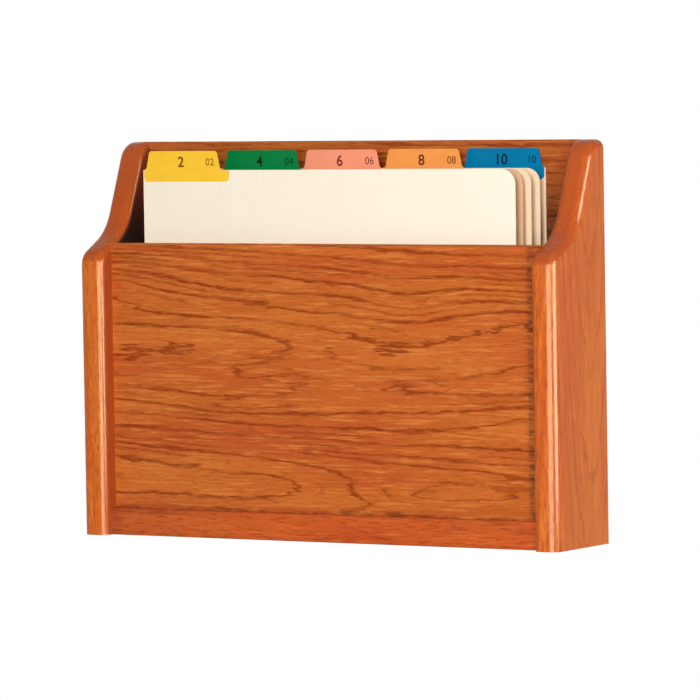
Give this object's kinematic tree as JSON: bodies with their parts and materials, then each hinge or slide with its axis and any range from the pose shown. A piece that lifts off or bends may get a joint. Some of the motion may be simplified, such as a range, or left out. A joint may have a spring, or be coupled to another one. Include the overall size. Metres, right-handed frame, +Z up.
{
  "type": "wall menu holder",
  "caption": "Oak wall pocket with S-curved side boards, a recessed plywood front and loose index guides with coloured tabs, for menus, charts or files.",
  "frame": {"origin": "on the wall plane, midway between the two wall screws", "axes": "+X to the right as seen from the front, +Y into the wall, +Z up"},
  "size_m": [0.378, 0.071, 0.272],
  "materials": {
    "oak_board": "clear lacquer, satin to gloss",
    "oak_rail": "clear lacquer, satin",
    "oak_ply": "clear lacquer, satin",
    "oak_band": "clear lacquer, satin",
    "beech": "raw",
    "brad_steel": "plain",
    "manila": "smooth pressboard",
    "film_yellow": "glossy film",
    "film_green": "glossy film",
    "film_pink": "glossy film",
    "film_orange": "glossy film",
    "film_blue": "glossy film"
  },
  "bodies": {
    "case": {"left_side": "oak_board", "right_side": "oak_board", "bottom_board": "oak_rail", "front_panel": "oak_ply", "front_edge_band": "oak_band", "back_panel": "oak_ply", "back_edge_band": "oak_band", "bottom_dowels": "beech", "back_brads": "brad_steel"},
    "guide_1": {"guide_1": "manila", "tab_film_1": "film_yellow"},
    "guide_2": {"guide_2": "manila", "tab_film_2": "film_green"},
    "guide_3": {"guide_3": "manila", "tab_film_3": "film_pink"},
    "guide_4": {"guide_4": "manila", "tab_film_4": "film_orange"},
    "guide_5": {"guide_5": "manila", "tab_film_5": "film_blue"}
  },
  "joints": [
    {"name": "guide_1_lift", "type": "slide", "parent": "case", "child": "guide_1", "axis": [0, 0, 1], "range_m": [0, 0.26]},
    {"name": "guide_2_lift", "type": "slide", "parent": "case", "child": "guide_2", "axis": [0, 0, 1], "range_m": [0, 0.26]},
    {"name": "guide_3_lift", "type": "slide", "parent": "case", "child": "guide_3", "axis": [0, 0, 1], "range_m": [0, 0.26]},
    {"name": "guide_4_lift", "type": "slide", "parent": "case", "child": "guide_4", "axis": [0, 0, 1], "range_m": [0, 0.26]},
    {"name": "guide_5_lift", "type": "slide", "parent": "case", "child": "guide_5", "axis": [0, 0, 1], "range_m": [0, 0.26]}
  ]
}
